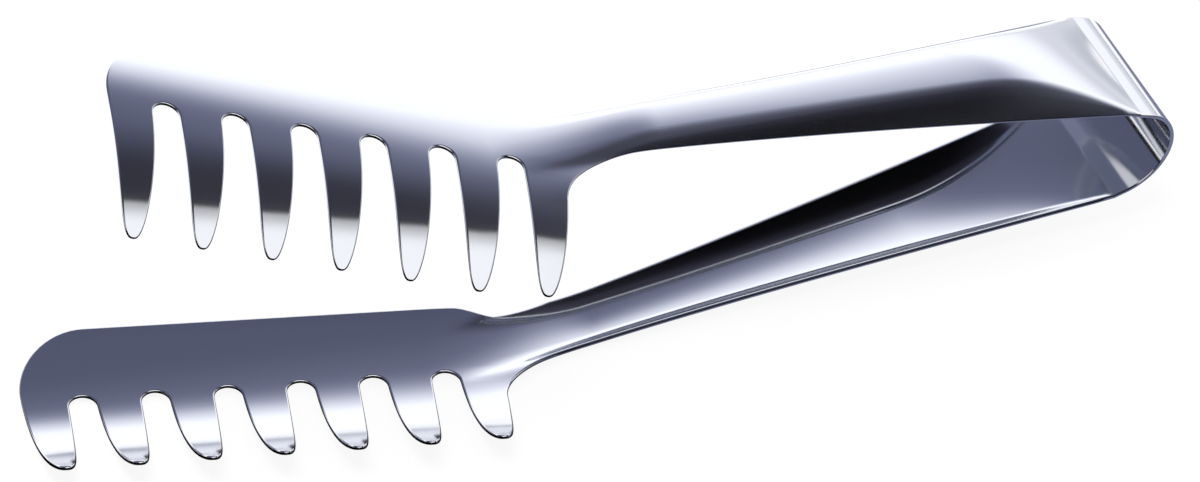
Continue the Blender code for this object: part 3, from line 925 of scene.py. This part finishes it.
def hang_card(look):
    """A white card in front of the raised comb, with a worn dark edge, that lights up the ends of its teeth."""
    tree, place, x, y = stage_plane("card", look.card_height, look.card_reach, (-0.09, -0.15))
    worn = tree.add("ShaderNodeTexNoise", None, place, Scale=200.0, Detail=4.0) * 0.007
    inward = 0.1055 - y - x * 0.1 + worn
    lit = inward.rise(0.004, 0.0046) * (inward.rise(0.004, 0.024) * 0.5 + 0.5)
    white = tree.add("ShaderNodeEmission", None, rgba(look.card_colour), lit * look.white_strength)
    clear = tree.add("ShaderNodeBsdfTransparent")
    shader = tree.add("ShaderNodeMixShader", None, inward.rise(0.0, 0.0006), clear, white)
    tree.add("ShaderNodeOutputMaterial", None, shader)


def surround(scene, look):
    """The white surround. The polish sees it dark in front and a little duller low on the right."""
    scene.world = bpy.data.worlds.new("studio")
    scene.world.use_nodes = True
    tree = NodeTree(scene.world.node_tree)
    camera_ray = tree.add("ShaderNodeLightPath", output="Is Camera Ray")
    direction = tree.add("ShaderNodeTexCoord", output="Generated")
    right, _, height = tree.axes(direction)
    back = (0.65, 0.76, 0.0)
    ahead = tree.add("ShaderNodeVectorMath", {"operation": "DOT_PRODUCT"}, direction, back, output="Value")
    low_right = right.rise(0.6, 0.78) * height.rise(0.20, 0.02)
    over_table = height.rise(-0.005, 0.01)
    light = ahead.rise(-0.1, 0.25) * (1.0 - low_right * 0.4) * (over_table * 0.6 + 0.4)
    shade = tree.add("ShaderNodeValToRGB", {"stops": HORIZON_SHADES}, light)
    lit = tree.add("ShaderNodeBackground", None, shade, look.white_strength)
    plain = tree.add("ShaderNodeBackground", None, rgba(look.white_colour), 1.0)
    shader = tree.add("ShaderNodeMixShader", None, camera_ray, lit, plain)
    tree.add("ShaderNodeOutputWorld", None, shader)


def hang_lamp(scene, look):
    """One large soft lamp over the table, which the polish doesn't mirror."""
    lamp = bpy.data.lights.new("key", "AREA")
    lamp.shape, lamp.size, lamp.size_y, lamp.energy = "RECTANGLE", 1.6, 1.0, look.lamp_power
    key = bpy.data.objects.new("key", lamp)
    scene.collection.objects.link(key)
    key.location = (-0.6, -0.3, 2.4)
    key.rotation_euler = (-key.location).to_track_quat("-Z", "Y").to_euler()
    key.visible_glossy = False


def set_camera(scene):
    camera = bpy.data.cameras.new("camera")
    camera.lens, camera.sensor_width = CAMERA_LENS, 36.0
    camera.clip_end = 100.0
    view = bpy.data.objects.new("camera", camera)
    scene.collection.objects.link(view)
    forward, right = CAMERA_FORWARD.normalized(), CAMERA_RIGHT.normalized()
    up = right.cross(forward).normalized()
    turn = Matrix((forward.cross(up), up, -forward)).transposed().to_4x4()
    view.matrix_world = rest_place(Strip(scene)) @ Matrix.Translation(CAMERA_PLACE) @ turn
    scene.camera = view


class TONGS_OT_studio(bpy.types.Operator):
    """Set the table, the lights and the camera"""

    bl_idname = "tongs.studio"
    bl_label = "Studio"

    def execute(self, context):
        scene = context.scene
        look = scene.tongs_studio
        deselect()
        lay_floor(look)
        hang_ceiling(look)
        hang_card(look)
        surround(scene, look)
        hang_lamp(scene, look)
        set_camera(scene)
        scene.view_settings.view_transform = "Standard"
        return {"FINISHED"}


class TONGS_PT_panel(bpy.types.Panel):
    """Sizes, looks and steps of the tongs"""

    bl_idname = "TONGS_PT_panel"
    bl_label = "Spaghetti Tongs"
    bl_space_type = "VIEW_3D"
    bl_region_type = "UI"
    bl_category = "Tongs"

    def draw(self, context):
        layout = self.layout
        for arm in ARMS:
            layout.operator("tongs.half", text=arm.title() + " half").arm = arm
        layout.operator("tongs.studio")
        for group in GROUPS:
            box = layout.box()
            sizes = getattr(context.scene, group)
            for name in type(sizes).__annotations__:
                box.prop(sizes, name)


CLASSES = (*GROUPS.values(), TONGS_OT_half, TONGS_OT_studio, TONGS_PT_panel)


def register():
    for kind in CLASSES:
        bpy.utils.register_class(kind)
    for name, group in GROUPS.items():
        setattr(bpy.types.Scene, name, PointerProperty(type=group))


def unregister():
    for name in GROUPS:
        delattr(bpy.types.Scene, name)
    for kind in reversed(CLASSES):
        bpy.utils.unregister_class(kind)


def main():
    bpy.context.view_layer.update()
    register()
    bpy.ops.tongs.half(arm="lower")
    bpy.ops.tongs.half(arm="upper")
    bpy.ops.tongs.studio()


if __name__ == "__main__":
    main()
